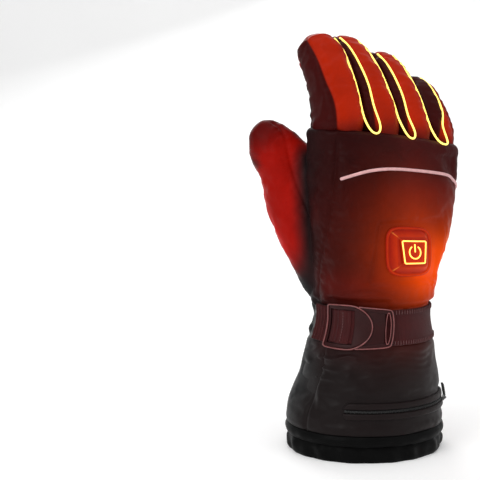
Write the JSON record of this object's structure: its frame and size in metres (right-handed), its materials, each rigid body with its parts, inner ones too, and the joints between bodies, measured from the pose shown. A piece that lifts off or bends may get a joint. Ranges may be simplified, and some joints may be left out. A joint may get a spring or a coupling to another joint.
{
  "type": "heated glove",
  "caption": "Padded right-hand winter glove with bent fingers, a gathered wrist with strap and buckle, a gauntlet cuff with zip pocket, and a lit power key.",
  "frame": {"origin": "the middle of the cuff's mouth, level with the lower edge of the hem", "axes": "+Z from the hem up to the fingertips, +X towards the little finger, +Y towards the palm"},
  "size_m": [0.1791, 0.1255, 0.3143],
  "materials": {
    "hand_fabric": "coated nylon shell, warm red glow fading to near black",
    "heated_fabric": "coated nylon shell, glowing red where it is heated",
    "black_fabric": "coated nylon shell, near black",
    "hem_binding": "smooth elastic binding and gathered lining, black",
    "grip_leather": "dotted grip patch, dark grey",
    "reflective_piping": "reflective silver piping with a pink cast",
    "heating_wire": "glowing yellow line of the heating wire",
    "badge_rubber": "moulded soft badge glowing orange red",
    "key_light": "lit outline and power symbol",
    "webbing": "woven strap",
    "buckle_plastic": "dark plastic with worn light edges",
    "zip_plastic": "black coil zip",
    "zip_metal": "black painted slider",
    "pull_cord": "woven pull, dark grey with light flecks",
    "lock_plastic": "black moulded plastic",
    "drawcord_braid": "black braided elastic cord"
  },
  "bodies": {
    "root": {"hand_shell": "hand_fabric", "index_finger": "heated_fabric", "middle_finger": "heated_fabric", "ring_finger": "heated_fabric", "little_finger": "heated_fabric", "thumb": "heated_fabric", "wrist_gather": "black_fabric", "cuff_shell": "black_fabric", "hem_roll": "hem_binding", "hem_skirt": "hem_binding", "palm_grip": "grip_leather", "knuckle_piping": "reflective_piping", "heating_wire_1": "heating_wire", "heating_wire_2": "heating_wire", "heating_wire_3": "heating_wire", "badge": "badge_rubber", "power_key": "badge_rubber", "key_light_frame": "key_light", "key_light_arc": "key_light", "key_light_bar": "key_light", "wrist_strap": "webbing", "strap_buckle": "buckle_plastic", "strap_fold": "webbing", "pocket_welt_upper": "black_fabric", "pocket_welt_lower": "black_fabric", "zip_chain": "zip_plastic", "zip_slider": "zip_metal", "zip_pull": "pull_cord", "cord_loop": "webbing", "cord_lock": "lock_plastic", "drawcord": "drawcord_braid", "cord_end": "lock_plastic", "clip_loop": "webbing", "glove_clip": "lock_plastic"}
  },
  "joints": []
}
